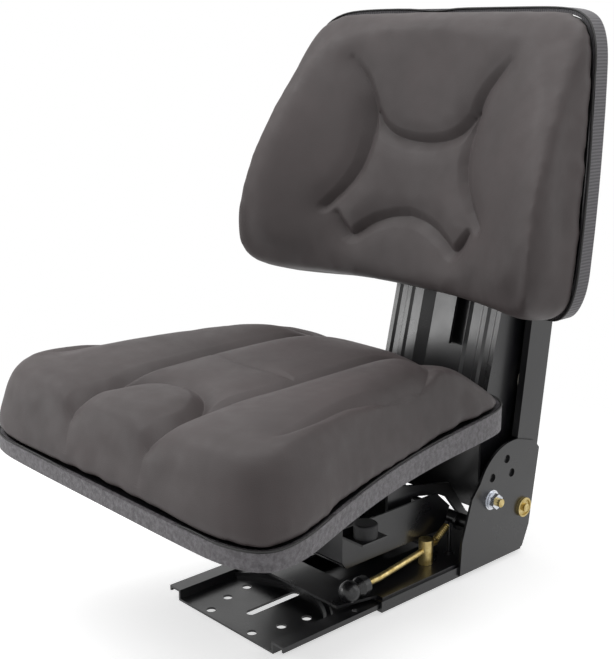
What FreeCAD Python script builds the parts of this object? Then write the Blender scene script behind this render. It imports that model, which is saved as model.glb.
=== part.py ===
import FreeCAD, Part
import math
import os
from FreeCAD import Vector

# A sprung vehicle seat on slide rails. X is across (+X is the lock lever's side), Y runs to the rear, Z is up.
# The origin is midway between the front pair of fixing holes, on the tray's flat underside.

# Clearances
slideGap = 0.35
seatGap = 0.3
fitGap = 0.05

# Base tray: one pressed sheet with folded side lips
traySheet = 2.5
trayHalfWidth = 80.0
trayFront = -10.0
trayRear = 325.0
trayWallHeight = 13.0
lipReach = 16.0
lipDrop = 6.0
fixingHoleRadius = 5.5
fixingPitch = 32.0
fixingHalfSpacings = (34.6, 45.3, 50.4)
rearFixingY = 285.0
slotHalfWidth = 5.5
slotFront = 28.0
slotRear = 92.0
beadHeight = 8.0
beadWidth = 11.0
beadRadius = 112.0
beadFront = 96.0
lipHoleY = 100.0
lipHoleRadius = 3.5
rackFront = 140.0
rackPitch = 10.0
rackTeeth = 13
rackToothLength = 5.0
rackToothWidth = 4.0
rackBase = 4.0

# Slide rails and side plates
railSheet = 3.0
railFront = 130.0
railRear = 374.0
railFlange = 15.0
plateSheet = 3.0
plateBottom = 6.0
crossPlateFront = 84.0
crossPlateRear = 345.0

# Rear column: a folded channel that leans back
leanDeg = 7.0
columnSheet = 3.0
columnDepth = 41.0
columnBottom = 30.0
columnTop = 470.0
columnMidY = 395.7
columnMidZ = 284.0
columnLip = 9.0
cheekBottom = 24.0
columnHoleX = 30.0
columnHoleZ = 330.0
columnHoleRadius = 7.0
crossTubeY = 322.0
crossTubeZ = 40.0
crossTubeRadius = 8.0
pivotY = 370.4
pivotZ = 60.6
tiltY = 308.0
tiltZ = 87.0
boltRadius = 5.0
tiltHoleCentres = ((336.0, 130.0), (346.0, 110.5), (310.0, 113.0))
tiltHoleRadius = 5.2
washerRadius = 12.0
washerThick = 2.2

# Front support box, its arms and the rubber bump stops
boxHalfWidth = 60.0
boxSheet = 2.5
boxFront = 108.0
boxRear = 285.0
boxBottom = 47.0
boxTop = 95.0
stopFlangeDrop = 8.0
armSheet = 4.0
armDepth = 12.0
armHalfSpacing = 47.0
stopRubberRadius = 13.5
stopRubberHeight = 16.0
stopRubberX = 76.0
stopRubberY = 112.0

# Suspension carriage
suspensionTravel = 50.0
carriageHalfWidth = 83.0
carriageSheet = 3.0
carriageBottom = 101.0
panelBottom = 165.0
panelFootY = 311.0
panelBendStart = 150.0
panelBendEnd = 215.0
panelSlope = 0.23
carriageTop = columnTop - 20.0
rollerWidth = 9.0
axleRadius = 5.0
upperRollerZ = columnTop - 70.0
lowerRollerZ = 215.0

springX = 40.0
springRadius = 12.0
springWire = 3.5
springLine = 3.0
springFootZ = 262.0
yokeZ = columnTop - 65.0
screwRadius = 6.0
adjusterKnobRadius = 17.0
adjusterKnobHeight = 18.0
yokeReach = 12.0
yokeHalf = 8.0
seatArmX = 66.0
seatArmWidth = 28.0
seatArmDepth = 22.0
seatArmFront = 30.0

# Seat cushion, trim and pan
seatFront = -160.0
seatRear = 307.0
seatFrontHalf = 230.0
seatRearHalf = 144.0
seatTaperEnd = 300.0
seatTaperLength = 400.0
seatTaperPower = 1.9
trimThick = 5.0
trimFrontHeight = 16.5
trimRearHeight = 27.5
trimBottom = 183.0
cushionHeight = 75.0
bolsterHeight = 14.0
bolsterX = 200.0
bolsterY = 19.0
bolsterSpread = 136.0
rearFallStart = 121.0
rearFall = 0.00235
seatRise = 3.3
seatRiseY = -43.0
seatRiseSpread = 47.0
panSheet = 2.5
panDrop = 0.3
seamTuck = 8.0
cornerPower = 7.0
seatCrown = (0.25, 0.10, 116.0)

# Backrest
backBottom = 321.0
backTop = 642.0
backHalf = 236.0
backTopHalf = 200.0
backTaperPower = 1.6
backCornerPower = 9.0
backThick = 67.5
backThinning = 26.0
backSwell = 4.0
backSwellZ = 395.0
backSwellSpread = 75.0
backSideLeast = 4.0
backSideLow = 70.0
backSideMiddle = 90.0
backBendLow = 63.6
backBendHigh = 41.0
backRearLow = 338.5
backRearHigh = 374.0
grooveWidth = 12.0
grooveDepth = 7.0
loopSteps = 48
seatGridSteps = 34
backGridSteps = 46
shellGridSteps = 18
bracketFoot = 338.0
bracketHead = 440.0
bracketX = 42.0
bracketWidth = 11.0
smallBoltRadius = 4.0
backShellDepth = 20.0
backCrown = (0.17, 0.075, 112.0)
shellCrown = (0.16, 0.06, 88.0)
cushionInset = 2.0
shellInset = 1.2

# Lock lever
leverX = 70.0
leverY = 233.0
leverPinRadius = 5.0
bushingRadius = 8.5
bushingHeight = 27.0
rodRadius = 4.0
knobRadius = 12.0
pawlReach = 32.0
pawlSheet = 2.5
pawlToothHalf = 2.5
leverSpringRadius = 3.6
leverSpringWire = 0.8
leverSpringTurns = 9
leverBendPoint = (78.0, 147.0, 32.0)
leverKnobPoint = (84.0, 90.0, 35.0)

lean = math.radians(leanDeg)
leanSlope = math.tan(lean)
railOuter = trayHalfWidth + lipReach + slideGap + railSheet
plateOuter = railOuter + plateSheet
railTop = trayWallHeight + slideGap + railSheet


def columnLine(z):
    return columnMidY + (z - columnMidZ) * leanSlope


def box(x0, x1, y0, y1, z0, z1):
    return Part.makeBox(x1 - x0, y1 - y0, z1 - z0, Vector(x0, y0, z0))


def rod(start, end, radius):
    a = Vector(*start)
    b = Vector(*end)
    return Part.makeCylinder(radius, (b - a).Length, a, b - a)


def sideProfile(points, x0, x1):
    """Extrudes a (y, z) outline across the seat, from x0 to x1."""
    wire = Part.makePolygon([Vector(x0, y, z) for y, z in points + points[:1]])
    return Part.Face(wire).extrude(Vector(x1 - x0, 0, 0))


def acrossProfile(points, y0, y1):
    """Extrudes an (x, z) outline along the seat, from y0 to y1."""
    wire = Part.makePolygon([Vector(x, y0, z) for x, z in points + points[:1]])
    return Part.Face(wire).extrude(Vector(0, y1 - y0, 0))


def mirrored(shape):
    return shape.mirror(Vector(0, 0, 0), Vector(1, 0, 0))


def pair(shape):
    return Part.makeCompound([shape, mirrored(shape)])


def hexNut(y, z, x0, x1, acrossFlats):
    radius = acrossFlats / 2 / math.cos(math.pi / 6)
    points = []
    for i in range(6):
        a = math.radians(60 * i + 20)
        points.append((y + radius * math.cos(a), z + radius * math.sin(a)))
    return sideProfile(points, x0, x1)


def leaned(shape):
    """Turns a shape drawn upright on the column's middle line into the column's lean."""
    turned = shape.copy()
    turned.rotate(Vector(0, columnMidY, columnMidZ), Vector(1, 0, 0), -leanDeg)
    return turned


def makeTray():
    wall = trayHalfWidth
    top = trayWallHeight
    sheet = traySheet
    lip = wall + lipReach
    half = [(0, 0), (wall, 0), (wall, top - sheet), (lip - sheet, top - sheet), (lip - sheet, top - lipDrop)]
    half += [(lip, top - lipDrop), (lip, top), (wall - sheet, top), (wall - sheet, sheet), (0, sheet)]
    tray = acrossProfile(half, trayFront, trayRear)
    tray = tray.fuse(mirrored(tray)).removeSplitter()
    for i, half in enumerate(fixingHalfSpacings):
        for x in (-half, half):
            tray = tray.cut(rod((x, i * fixingPitch, -1), (x, i * fixingPitch, sheet + 1), fixingHoleRadius))
    for x in (-fixingHalfSpacings[2], fixingHalfSpacings[2]):
        tray = tray.cut(rod((x, rearFixingY, -1), (x, rearFixingY, sheet + 1), fixingHoleRadius))
    slot = box(-slotHalfWidth, slotHalfWidth, slotFront, slotRear, -1, sheet + 1)
    for y in (slotFront, slotRear):
        slot = slot.fuse(rod((0, y, -1), (0, y, sheet + 1), slotHalfWidth))
    tray = tray.cut(slot)
    for x in (-lipReach / 2 - wall, lipReach / 2 + wall):
        tray = tray.cut(rod((x, lipHoleY, 0), (x, lipHoleY, top + 1), lipHoleRadius))
    return tray.fuse(makeBead()).removeSplitter()


def makeBead():
    """The curved pressed rim behind the front holes."""
    centreY = beadFront + 14 - beadRadius
    edge = math.sqrt(beadRadius ** 2 - (trayHalfWidth - traySheet) ** 2)
    outer = Part.makeCylinder(beadRadius, beadHeight, Vector(0, centreY, traySheet / 2))
    inner = Part.makeCylinder(beadRadius - beadWidth, beadHeight, Vector(0, centreY, traySheet / 2))
    ring = outer.cut(inner)
    reach = trayHalfWidth - traySheet / 2
    keep = box(-reach, reach, centreY + edge - beadWidth, beadFront + 40, 0, 30)
    ring = ring.common(keep)
    bevel = []
    for e in ring.Edges:
        atTop = abs(e.CenterOfMass.z - traySheet / 2 - beadHeight) < 0.01
        if atTop and e.Curve.TypeId == "Part::GeomCircle":
            bevel.append(e)
    return ring.makeChamfer(3.0, bevel)


def makeRail():
    outer = railOuter
    inner = outer - railFlange
    bottomTop = trayWallHeight - lipDrop - slideGap
    bottom = bottomTop - railSheet
    top = railTop
    s = railSheet
    points = [(inner, bottom), (outer, bottom), (outer, top), (inner, top), (inner, top - s)]
    points += [(outer - s, top - s), (outer - s, bottomTop), (inner, bottomTop)]
    return acrossProfile(points, railFront, railRear)


def makeSidePlate():
    """The upright plate, with its curved front shoulder and its row of tilt holes."""
    corners = [(257, plateBottom), (259, 46), (275, 96), (289, 112)]
    shoulder = Part.Arc(Vector(railOuter, 289, 112), Vector(railOuter, 311, 139), Vector(railOuter, 354, 150.5))
    rear = [(354, 150.5), (388, 141), (398, 130), (384, 34), (373, 9), (365, plateBottom), (257, plateBottom)]
    edges = []
    for path in (corners, rear):
        for a, b in zip(path, path[1:]):
            edges.append(Part.LineSegment(Vector(railOuter, *a), Vector(railOuter, *b)).toShape())
    edges.append(shoulder.toShape())
    plate = Part.Face(Part.Wire(Part.__sortEdges__(edges))).extrude(Vector(plateSheet, 0, 0))
    x0 = railOuter - 1
    x1 = plateOuter + 1
    for y, z in tiltHoleCentres:
        plate = plate.cut(rod((x0, y, z), (x1, y, z), tiltHoleRadius))
    for y, z in ((pivotY, pivotZ), (tiltY, tiltZ)):
        plate = plate.cut(rod((x0, y, z), (x1, y, z), boltRadius + fitGap))
    return plate


def makeCrossPlate():
    """A flat plate that joins both rails, with a window in its middle."""
    reach = railOuter - railSheet
    plate = box(-reach, reach, crossPlateFront + 50, crossPlateRear, railTop, railTop + railSheet)
    nose = [(-reach + 20, crossPlateFront), (reach - 20, crossPlateFront), (reach - 8, crossPlateFront + 50)]
    nose += [(-reach + 8, crossPlateFront + 50)]
    wire = Part.makePolygon([Vector(x, y, railTop) for x, y in nose + nose[:1]])
    plate = plate.fuse(Part.Face(wire).extrude(Vector(0, 0, railSheet))).removeSplitter()
    plate = plate.cut(box(-34, 34, 130, 270, 0, 60))
    return plate.cut(rod((leverX, leverY, 0), (leverX, leverY, 60), leverPinRadius + fitGap))


def makeColumn():
    outer = railOuter
    s = columnSheet
    half = columnDepth / 2
    low = columnBottom - 40
    front = columnMidY - half
    rear = columnMidY + half
    walls = box(-outer, outer, front, rear, low, columnTop + 10)
    hollow = box(-outer + s, outer - s, front + s, rear - s, low - 1, columnTop + 20)
    mouth = box(-outer + columnLip, outer - columnLip, front - 1, rear - s, low - 1, columnTop + 20)
    column = leaned(walls.cut(hollow).cut(mouth))
    column = column.cut(box(-200, 200, 0, 600, -100, columnBottom))
    column = column.cut(box(-200, 200, 0, 600, columnTop, columnTop + 100))
    lipCut = box(-outer + s, outer - s, 0, columnLine(120) - 2, columnBottom - 1, 150)
    column = column.cut(lipCut)
    gusset = [(columnLine(150), 150), (columnLine(150) - 22, 148), (296, 112), (291, 62), (304, cheekBottom)]
    gusset += [(columnLine(columnBottom), cheekBottom)]
    cheek = sideProfile(gusset, outer - s, outer)
    column = column.fuse(cheek).fuse(mirrored(cheek)).removeSplitter()
    for y, z in ((pivotY, pivotZ), (tiltY, tiltZ)):
        column = column.cut(rod((-outer - 1, y, z), (outer + 1, y, z), boltRadius + fitGap))
    y = columnLine(columnHoleZ)
    for x in (-columnHoleX, columnHoleX):
        column = column.cut(rod((x, y, columnHoleZ), (x, y + 60, columnHoleZ - 60 * leanSlope), columnHoleRadius))
    return column


def tube(start, end, outer, inner):
    return rod(start, end, outer).cut(rod(start, end, inner))


def discRing(y, z, x0, x1, outer, inner):
    return tube((x0, y, z), (x1, y, z), outer, inner)


def makeSupportBox():
    """The open-topped box under the cushion, with a flange each side for a rubber stop."""
    w = boxHalfWidth
    s = boxSheet
    side = [(boxFront, boxBottom + 8), (boxFront + 6, boxBottom), (boxRear - 12, boxBottom), (boxRear, boxBottom + 26)]
    side += [(boxRear - 24, boxTop), (boxFront, boxTop)]
    block = sideProfile(side, -w, w)
    inner = sideProfile([(boxFront + s, boxBottom + s), (boxRear, boxBottom + s), (boxRear, boxTop + 1),
                         (boxFront + s, boxTop + 1)], -w + s, w - s)
    body = block.cut(inner)
    y = stopRubberY
    top = boxTop - stopFlangeDrop
    flange = box(w - s, stopRubberX + 15, y - 4, y + 34, top - s, top)
    body = body.fuse(flange).fuse(mirrored(flange))
    for x in (-stopRubberX, stopRubberX):
        body = body.cut(rod((x, y + 15, top - 10), (x, y + 15, top + 1), 3.5))
    return body.removeSplitter()


def makeSupportArm():
    """A cranked flat bar from the support box to the cross tube low in the column."""
    x0 = armHalfSpacing - armSheet / 2
    slope = math.tan(math.radians(12))
    y0 = 190.0
    y1 = 296.0
    topY0 = tiltZ + armDepth / 2 + (tiltY - y0) * slope
    topY1 = tiltZ + armDepth / 2 + (tiltY - y1) * slope
    low = topY1 - armDepth
    tube = (crossTubeY, crossTubeZ)
    bar = [(y0, topY0), (y1, topY1), (tube[0] + 6, tube[1] + 12), (tube[0] - 8, tube[1] + 12), (y1 - 8, low)]
    bar += [(y0 + 40, low + (y1 - y0 - 48) * slope), (y0 + 40, boxBottom + boxSheet), (y0, boxBottom + boxSheet)]
    arm = sideProfile(bar, x0, x0 + armSheet)
    eye = rod((x0, *tube), (x0 + armSheet, *tube), crossTubeRadius + 5)
    arm = arm.fuse(eye).removeSplitter()
    return arm.cut(rod((x0 - 1, *tube), (x0 + armSheet + 1, *tube), crossTubeRadius + fitGap))


def panelFront(z):
    """The Y of the carriage panel's front face: upright low down, leaning further up."""
    bend = panelBendEnd - panelBendStart
    if z < panelBendStart:
        return panelFootY
    if z < panelBendEnd:
        return panelFootY + (z - panelBendStart) ** 2 * panelSlope / (2 * bend)
    return panelFootY + bend * panelSlope / 2 + (z - panelBendEnd) * panelSlope


def makeCarriage():
    """The ribbed back panel with side flanges that reach into the column."""
    w = carriageHalfWidth
    s = carriageSheet
    levels = [panelBottom, 180, 195, panelBendEnd, carriageTop]
    sideLevels = [carriageBottom, panelBendStart] + levels
    section = [(0, 12), (27, 12), (40, 3), (54, 3), (57, 0), (63, 0), (66, 3), (74, 3), (77, 0), (w, 0)]
    front = [(panelFront(z), z) for z in levels]
    sideFront = [(panelFront(z), z) for z in sideLevels]
    strips = []
    for (xa, da), (xb, db) in zip(section, section[1:]):
        corners = []
        for x, d in ((xa, da), (xb, db)):
            corners.append(Part.makePolygon([Vector(x, y + d, z) for y, z in front]))
        strips.append(corners)
    solids = []
    for a, b in strips:
        sheetFront = Part.makeRuledSurface(a, b)
        solids.append(sheetFront.extrude(Vector(0, s, 0)))
    body = None
    for piece in solids:
        for solid in piece.Solids:
            body = solid if body is None else body.fuse(solid)
    rearLow = columnLine(carriageBottom) + columnDepth / 2 - columnSheet - 4
    rearTop = columnLine(carriageTop) + columnDepth / 2 - columnSheet - 4
    flange = list(sideFront)
    flange += [(rearTop, carriageTop), (rearLow, carriageBottom)]
    side = sideProfile(flange, w - s, w)
    body = body.fuse(side)
    body = body.fuse(mirrored(body)).removeSplitter()
    for z in (upperRollerZ, lowerRollerZ):
        y = columnLine(z)
        body = body.cut(rod((-w - 1, y, z), (w + 1, y, z), axleRadius + fitGap))
    return body


def makeTongue():
    """The flat tongue that hangs in the panel's middle channel, with its fixing pad."""
    low = 255.0
    top = 330.0
    thick = 4.0
    outline = [(panelFront(low) + 2.5, low), (panelFront(top) + 2.5, top), (panelFront(top) + 2.5 - thick, top),
               (panelFront(low) + 2.5 - thick, low)]
    plate = sideProfile(outline, -16, 16)
    foot = top - 20
    back = [(panelFront(foot) + 2.4, foot), (panelFront(foot) + 12, foot), (panelFront(top) + 12, top),
            (panelFront(top) + 2.4, top)]
    return plate.fuse(sideProfile(back, -16, 16)).removeSplitter()


def rollerNodes():
    nodes = {}
    inner = railOuter - columnSheet
    outerX = inner - 0.6
    innerX = outerX - rollerWidth
    radius = (columnDepth - 2 * columnSheet) / 2 - 0.25
    axles = []
    for name, z in (("upper", upperRollerZ), ("lower", lowerRollerZ)):
        y = columnLine(z)
        for side, sign in (("left", 1), ("right", -1)):
            wheel = rod((sign * innerX, y, z), (sign * outerX, y, z), radius)
            hub = rod((sign * (innerX - 1), y, z), (sign * (outerX + 1), y, z), axleRadius + fitGap)
            nodes[name + "_roller_" + side] = wheel.cut(hub)
            axle = rod((sign * (carriageHalfWidth - 9), y, z), (sign * (outerX + 0.2), y, z), axleRadius)
            collar = rod((sign * (carriageHalfWidth - 9), y, z), (sign * (carriageHalfWidth - 3), y, z), 8)
            axles.append(axle.fuse(collar).removeSplitter())
    nodes["roller_axles"] = Part.makeCompound(axles)
    return nodes


def seatShare(y):
    return min(1.0, max(0.0, (y - seatFront) / (seatRear - seatFront)))


def seatWidth(y):
    taper = max(0.0, (seatTaperEnd - y) / seatTaperLength) ** seatTaperPower
    return seatRearHalf + (seatFrontHalf - seatRearHalf) * taper


def seatLift(y):
    """How far the trim's lower edge rises behind the front."""
    return seatRise / (1 + math.exp(-(y - seatRiseY) / seatRiseSpread))


def seamHeight(y):
    """Height of the seam over the trim, which gets taller to the rear."""
    return trimBottom + trimFrontHeight + (trimRearHeight - trimFrontHeight) * seatShare(y) + seatLift(y)


def squircle(angle, power):
    return 1 / (abs(math.cos(angle)) ** power + abs(math.sin(angle)) ** power) ** (1 / power)


def seatPoint(p, q, grow, drop):
    """A point of the seat's plan outline, scaled in by (p, q), pushed out by grow and drop under the seam."""
    angle = math.atan2(q, p)
    reach = squircle(angle, cornerPower) * math.hypot(p, q)
    midY = (seatFront + seatRear) / 2
    halfY = (seatRear - seatFront) / 2
    y = midY + math.sin(angle) * reach * (halfY + grow)
    x = math.cos(angle) * reach * (seatWidth(y) + grow)
    return Vector(x, y, seamHeight(y) - drop)


def groove(distance, width, depth):
    return depth * math.exp(-(distance / width) ** 2)


def distanceToPath(x, y, path):
    best = 1e9
    for (ax, ay), (bx, by) in zip(path, path[1:]):
        dx = bx - ax
        dy = by - ay
        t = ((x - ax) * dx + (y - ay) * dy) / (dx * dx + dy * dy)
        t = min(1.0, max(0.0, t))
        best = min(best, math.hypot(x - ax - t * dx, y - ay - t * dy))
    return best


# Moulded grooves of the seat cushion, as (x, y) runs on one half
seatGrooves = [
    [(62, -150), (68, -125), (66, -100), (58, -80), (44, -62), (24, -50), (0, -46)],
    [(66, -100), (71, -60), (73, -10), (72, 50), (70, 110), (66, 170), (62, 250)],
    [(183, -85), (178, -46), (167, 0), (161, 40), (157, 80), (152, 115), (142, 143), (127, 165), (106, 186),
     (84, 200)],
]


def seatTop(x, y):
    """Height of the cushion's top over its seam, with side bolsters and a rear that falls away."""
    side = min(1.0, abs(x) / bolsterX)
    rise = cushionHeight + bolsterHeight * side ** 2 * math.exp(-((y - bolsterY) / bolsterSpread) ** 2)
    rise -= rearFall * max(0.0, y - rearFallStart) ** 2
    for path in seatGrooves:
        rise -= groove(distanceToPath(abs(x), y, path), grooveWidth, grooveDepth)
    return rise


def crownProfile(s, edge, bulge, endDeg):
    """Plan scale and height share of a soft crown, from its middle (s = 0) to its seam (s = 1)."""
    flat = 1 - edge
    end = math.radians(endDeg)
    if s <= flat:
        return s / flat * (1 - bulge * math.sin(end)), 1.0
    turn = (s - flat) / edge * end
    inner = 1 - bulge * math.sin(end)
    return inner + bulge * math.sin(turn), (math.cos(turn) - math.cos(end)) / (1 - math.cos(end))


def padSolid(place, steps):
    """A soft solid: a crowned surface over a grid, closed by a face across its seam."""
    rows = []
    for i in range(steps + 1):
        row = []
        for j in range(steps + 1):
            u = -1 + 2 * i / steps
            v = -1 + 2 * j / steps
            u = 0.6 * u + 0.4 * math.sin(u * math.pi / 2)
            v = 0.6 * v + 0.4 * math.sin(v * math.pi / 2)
            row.append(place(u * math.sqrt(1 - v * v / 2), v * math.sqrt(1 - u * u / 2)))
        rows.append(row)
    surface = Part.BSplineSurface()
    surface.interpolate(rows)
    crown = surface.toShape()
    seam = Part.makeFilledFace(crown.Edges)
    shell = Part.makeShell([crown, seam])
    if not shell.isClosed():
        shell.sewShape()
    solid = Part.makeSolid(shell)
    if solid.Volume < 0:
        solid.reverse()
    return solid


def seatCushionPlace(p, q):
    s = math.hypot(p, q)
    rho, share = crownProfile(s, *seatCrown)
    k = rho / s if s > 1e-9 else 1.0
    flat = seatPoint(p * k, q * k, -cushionInset, seamTuck - seatGap)
    return Vector(flat.x, flat.y, flat.z + share * (seamTuck + seatTop(flat.x, flat.y)))


def loopWire(points):
    curve = Part.BSplineCurve()
    curve.interpolate(points, PeriodicFlag=True)
    return curve.toShape()


def bandSolid(loops):
    """A closed ring from four loops in order round its section."""
    wires = [loopWire(points) for points in loops]
    faces = []
    for a, b in zip(wires, wires[1:] + wires[:1]):
        faces.append(Part.makeRuledSurface(a, b))
    shell = Part.makeShell(faces)
    if not shell.isClosed():
        shell.sewShape()
    solid = Part.makeSolid(shell)
    if solid.Volume < 0:
        solid.reverse()
    return solid


def seatLoop(grow, drop):
    points = []
    for i in range(loopSteps):
        a = 2 * math.pi * i / loopSteps
        points.append(seatPoint(math.cos(a), math.sin(a), grow, drop))
    return points


def makeSeatTrim():
    """The band round the cushion's foot."""
    outer = seatLoop(0, 0)
    inner = seatLoop(-trimThick, 0)
    lower = [Vector(v.x, v.y, trimBottom + seatLift(v.y)) for v in outer]
    innerLower = [Vector(v.x, v.y, trimBottom + seatLift(v.y)) for v in inner]
    return bandSolid([lower, outer, inner, innerLower])


def liftedBand(low, high):
    """A block right across the seat between two heights that follow the seam."""
    steps = 16
    ys = [seatFront - 20 + (seatRear - seatFront + 40) * i / steps for i in range(steps + 1)]
    band = [(y, low + seamHeight(y)) for y in ys] + [(y, high + seamHeight(y)) for y in reversed(ys)]
    return sideProfile(band, -300, 300)


def makeSeatCushion():
    """The crowned cushion, cut off level with its seam over the trim."""
    return padSolid(seatCushionPlace, seatGridSteps).cut(liftedBand(seatGap - 80, seatGap))


def liftedBlock(grow, low, high):
    """An upright prism of the seat's outline, cut off by two heights over the seam."""
    flat = [Vector(v.x, v.y, 0) for v in seatLoop(grow, 0)]
    prism = Part.Face(Part.Wire(loopWire(flat).Edges)).extrude(Vector(0, 0, 400))
    return prism.common(liftedBand(low, high))


def makeSeatPan():
    """The pressed pan under the cushion: a curved sheet with a rim turned down inside the trim."""
    grow = -trimThick - seatGap
    outer = liftedBlock(grow, 3 - trimFrontHeight, -panDrop)
    return outer.cut(liftedBlock(grow - panSheet, -60, -panDrop - panSheet))


def backShare(z):
    return min(1.0, max(0.0, (z - backBottom) / (backTop - backBottom)))


def backRear(x, z):
    """Y of the backrest's curved rear skin."""
    share = backShare(z)
    bend = backBendLow + (backBendHigh - backBendLow) * share
    return backRearLow + (backRearHigh - backRearLow) * share - bend * (x / backHalf) ** 2


def backPoint(p, q, grow, depth):
    """A point of the backrest: (p, q) on its outline, depth forward of its rear skin."""
    angle = math.atan2(q, p)
    reach = squircle(angle, backCornerPower) * math.hypot(p, q)
    mid = (backBottom + backTop) / 2
    z = mid + math.sin(angle) * reach * ((backTop - backBottom) / 2 + grow)
    width = backHalf + (backTopHalf - backHalf) * backShare(z) ** backTaperPower + grow
    x = math.cos(angle) * reach * width
    return Vector(x, backRear(x, z) - depth, z)


# Moulded grooves of the backrest, as (x, z) runs on one half
backGrooves = [
    [(114, 583), (97, 566), (85, 549), (77, 530), (74, 508), (74, 488), (78, 467), (86, 449), (98, 433), (116, 415)],
    [(0, 494), (20, 495), (44, 500), (62, 510), (74, 524)],
    [(0, 412), (24, 409), (45, 402), (62, 392), (79, 380), (92, 392), (100, 405)],
]


def backRise(x, z):
    """Depth of the cushion in front of its seam: a lumbar swell, side wings and moulded grooves."""
    share = backShare(z)
    low = 1 - share
    centre = backThick - backThinning * share + backSwell * math.exp(-((z - backSwellZ) / backSwellSpread) ** 2)
    side = max(backSideLeast, backSideLow * low * (2 * low - 1) + backSideMiddle * 4 * low * share)
    rise = centre + (side - centre) * (x / backHalf) ** 2
    for path in backGrooves:
        rise -= groove(distanceToPath(abs(x), z, path), grooveWidth, grooveDepth)
    return rise


def backCushionPlace(p, q):
    s = math.hypot(p, q)
    rho, share = crownProfile(s, *backCrown)
    k = rho / s if s > 1e-9 else 1.0
    flat = backPoint(p * k, q * k, -cushionInset, backShellDepth + seatGap)
    rise = share * backRise(flat.x, flat.z)
    return Vector(flat.x, flat.y - rise, flat.z)


def backShellPlace(p, q):
    s = math.hypot(p, q)
    rho, share = crownProfile(s, *shellCrown)
    k = rho / s if s > 1e-9 else 1.0
    flat = backPoint(p * k, q * k, -trimThick - shellInset, backShellDepth)
    return Vector(flat.x, flat.y + share * backShellDepth, flat.z)


def makeBackTrim():
    """The band round the backrest's rim."""
    loops = []
    for grow, depth in ((0, 0), (0, backShellDepth), (-trimThick, backShellDepth), (-trimThick, 0)):
        points = []
        for i in range(loopSteps):
            a = 2 * math.pi * i / loopSteps
            points.append(backPoint(math.cos(a), math.sin(a), grow, depth))
        loops.append(points)
    return bandSolid(loops)


def makeBracket():
    """A wedge-shaped spacer between the carriage panel and the backrest's shell."""
    recess = 3.0
    x1 = bracketX + bracketWidth
    low = backRear(x1, bracketFoot) + seatGap
    high = backRear(x1, bracketHead) + seatGap
    outline = [(low + 1.4, bracketFoot), (high + 1.4, bracketHead), (panelFront(bracketHead) + recess, bracketHead),
               (panelFront(bracketFoot) + recess, bracketFoot)]
    wedge = sideProfile(outline, bracketX, x1)
    return wedge


def makeBoltThrough(x, z, yFront, yRear):
    """A hexagon bolt along Y, its head at the rear."""
    shank = rod((x, yFront, z), (x, yRear, z), smallBoltRadius)
    head = hexNut(0, 0, 0, 5.5, 13).copy()
    head.rotate(Vector(0, 0, 0), Vector(0, 0, 1), 90)
    head.translate(Vector(x, yRear, z))
    return shank.fuse(head).removeSplitter()


def bracketBolts():
    bolts = []
    holes = []
    for z in (bracketFoot + 18, bracketHead - 20):
        x = bracketX + bracketWidth / 2
        front = backRear(x, z) + seatGap + 0.6
        rear = panelFront(z) + 3.0 + carriageSheet + 2.0
        one = makeBoltThrough(x, z, front + 1, rear)
        hole = rod((x, front - 20, z), (x, rear + 3, z), smallBoltRadius + fitGap)
        bolts += [one, mirrored(one)]
        holes += [hole, mirrored(hole)]
    return bolts, holes


def makeSeatArm():
    """A channel under the pan, stepped down at its rear to pass below the trim, with a welded end plate."""
    x0 = seatArmX - seatArmWidth / 2
    x1 = seatArmX + seatArmWidth / 2
    top = seamHeight(seatArmFront) - panDrop - panSheet - 0.8
    step = trimBottom + seatLift(seatRear) - 0.5
    low = step - seatArmDepth
    s = carriageSheet
    rear = panelFront(low) - 0.2
    stepY = seatRear - trimThick - panSheet - 6
    side = [(seatArmFront, step), (seatArmFront, top), (stepY, top), (stepY, step), (rear, step), (rear, low),
            (seatArmFront + 30, low)]
    solid = sideProfile(side, x0, x1)
    hollow = [(seatArmFront - 1, low - 1), (seatArmFront - 1, top - s), (stepY - s, top - s), (stepY - s, step - s),
              (rear - s, step - s), (rear - s, low - 1)]
    return solid.cut(sideProfile(hollow, x0 + s, x1 - s)), low


def makeStopBar(low):
    """The cross bar under the seat arms that meets the rubber stops."""
    bottom = boxTop - stopFlangeDrop + stopRubberHeight + suspensionTravel * math.cos(lean) + 0.4
    y = stopRubberY + 15 + suspensionTravel * math.sin(lean)
    reach = stopRubberX + 14
    bar = box(-reach, reach, y - 16, y + 16, bottom, low)
    return bar.cut(box(-reach - 1, reach + 1, y - 13.5, y + 13.5, bottom + 2.5, low + 1))


def makeStopRubber():
    y = stopRubberY + 15
    base = boxTop - stopFlangeDrop
    body = rod((stopRubberX, y, base), (stopRubberX, y, base + stopRubberHeight), stopRubberRadius)
    edges = [e for e in body.Edges if abs(e.CenterOfMass.z - base - stopRubberHeight) < 0.01]
    return body.makeFillet(2.5, edges)


def tiltBoltSet(y, z, plain):
    """One short bolt through the side plate and the column, with its washer and nut outside."""
    inner = railOuter - columnSheet
    end = plateOuter + washerThick + (4.0 if plain else 14.0)
    shank = rod((inner, y, z), (end, y, z), boltRadius)
    head = hexNut(y, z, inner - 6.4, inner, 17)
    washer = discRing(y, z, plateOuter, plateOuter + washerThick, washerRadius, boltRadius + fitGap)
    if plain:
        rim = discRing(y, z, plateOuter + washerThick, plateOuter + washerThick + 1.4, washerRadius, washerRadius - 2.2)
        washer = washer.fuse(rim).removeSplitter()
    nut = hexNut(y, z, plateOuter + washerThick, plateOuter + washerThick + 8.5, 16)
    flange = rod((plateOuter + washerThick, y, z), (plateOuter + washerThick + 2, y, z), 10.3)
    nut = nut.fuse(flange).removeSplitter()
    nut = nut.cut(rod((plateOuter, y, z), (end + 5, y, z), boltRadius + fitGap))
    return shank.fuse(head).removeSplitter(), washer, nut


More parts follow.
